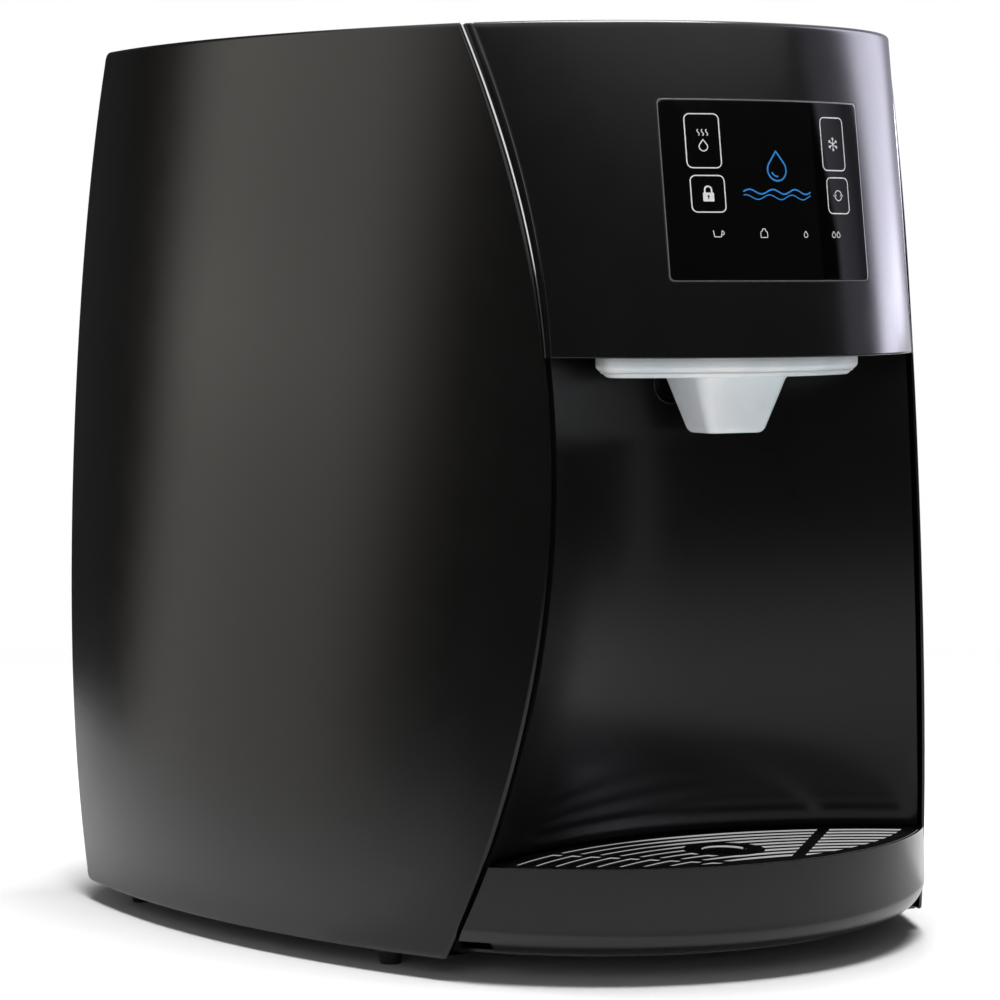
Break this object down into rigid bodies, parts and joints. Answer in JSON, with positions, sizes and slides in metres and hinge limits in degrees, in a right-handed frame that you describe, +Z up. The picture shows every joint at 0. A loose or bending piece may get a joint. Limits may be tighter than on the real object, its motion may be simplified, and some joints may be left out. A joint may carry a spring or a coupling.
{
  "type": "countertop water dispenser",
  "caption": "Countertop hot and cold water dispenser with bowed side panels, a leaning touch fascia, a concave dispensing bay, a frosted nozzle cover and a drip tray with a slotted grille.",
  "frame": {"origin": "on the table, under the middle of the casing's bounding box", "axes": "+Z up, front with the bay towards -Y, +X to the right seen from the front"},
  "size_m": [0.3932, 0.448, 0.452],
  "materials": {
    "casing": "satin",
    "bay": "satin",
    "glass_black": "gloss",
    "bright_trim": "polished",
    "screws": "zinc plated",
    "zinc_sheet": "galvanised",
    "rubber": "matt",
    "frosted": "frosted translucent",
    "steel": "brushed",
    "grille": "polished",
    "board": "solder mask",
    "foam": "foam",
    "copper": "drawn copper",
    "black_paint": "semi gloss",
    "fins": "dark coated",
    "black_plastic": "moulded",
    "white_plastic": "moulded",
    "tube": "soft",
    "red_cap": "moulded",
    "blue_cap": "moulded",
    "green_rocker": "moulded"
  },
  "bodies": {
    "casing": {"left_side_panel": "casing", "right_side_panel": "casing", "front_fascia": "casing", "touch_panel": "glass_black", "left_trim_strip": "bright_trim", "right_trim_strip": "bright_trim", "top_cover": "casing", "top_cover_screws": "screws", "rear_cover": "casing", "rear_cover_screws": "screws", "service_panel": "casing", "base_pan": "black_paint", "feet": "rubber", "foot_screws": "screws", "panel_screws": "screws", "bay_liner": "bay", "cup_sensor": "glass_black", "hot_spout": "steel", "cold_spout": "steel", "control_board": "board", "power_board": "board", "mid_deck": "zinc_sheet", "cold_tank": "steel", "cold_insulation": "foam", "cold_insulation_lid": "foam", "hot_tank": "steel", "hot_insulation": "foam", "hot_tank_stand": "zinc_sheet", "heating_element": "copper", "compressor": "black_paint", "compressor_grommets": "rubber", "compressor_bolts": "screws", "condenser": "fins", "fan_shroud": "zinc_sheet", "fan_frame": "black_plastic", "fan_screws": "screws", "hot_valve": "white_plastic", "cold_valve": "white_plastic", "inlet_valve": "white_plastic", "hot_tube": "tube", "cold_tube": "tube", "inlet_tube": "tube", "hot_feed_tube": "tube", "hot_drain_tube": "tube", "cold_drain_tube": "tube", "refrigerant_lines": "copper", "water_inlet": "white_plastic", "hot_drain_outlet": "white_plastic", "cold_drain_outlet": "white_plastic", "mains_inlet": "black_plastic", "hot_switch_housing": "black_plastic", "cold_switch_housing": "black_plastic"},
    "drip_tray": {"drip_tray": "casing"},
    "drip_grille": {"drip_grille": "grille"},
    "nozzle_cover": {"nozzle_cover": "frosted"},
    "fan_rotor": {"fan_rotor": "black_plastic"},
    "hot_rocker": {"hot_switch_rocker": "red_cap"},
    "cold_rocker": {"cold_switch_rocker": "green_rocker"},
    "hot_cap": {"hot_drain_cap": "red_cap"},
    "cold_cap": {"cold_drain_cap": "blue_cap"}
  },
  "joints": [
    {"name": "tray_slide", "type": "slide", "parent": "casing", "child": "drip_tray", "axis": [0, -1, 0], "range_m": [0, 0.115]},
    {"name": "grille_lift", "type": "slide", "parent": "drip_tray", "child": "drip_grille", "axis": [0, 0, 1], "range_m": [0, 0.005]},
    {"name": "nozzle_pull", "type": "slide", "parent": "casing", "child": "nozzle_cover", "axis": [0, 0, -1], "range_m": [0, 0.045]},
    {"name": "fan_spin", "type": "hinge", "parent": "casing", "child": "fan_rotor", "pos_m": [0, 0.19, 0.2715], "axis": [0, 1, 0], "continuous": true},
    {"name": "hot_switch_rock", "type": "hinge", "parent": "casing", "child": "hot_rocker", "pos_m": [-0.072, 0.14202, 0.066], "axis": [1, 0, 0], "range_deg": [-20, 0]},
    {"name": "cold_switch_rock", "type": "hinge", "parent": "casing", "child": "cold_rocker", "pos_m": [-0.044, 0.14202, 0.066], "axis": [1, 0, 0], "range_deg": [-20, 0]},
    {"name": "hot_cap_off", "type": "slide", "parent": "casing", "child": "hot_cap", "axis": [0, 1, 0], "range_m": [0, 0.02]},
    {"name": "cold_cap_off", "type": "slide", "parent": "casing", "child": "cold_cap", "axis": [0, 1, 0], "range_m": [0, 0.02]}
  ]
}
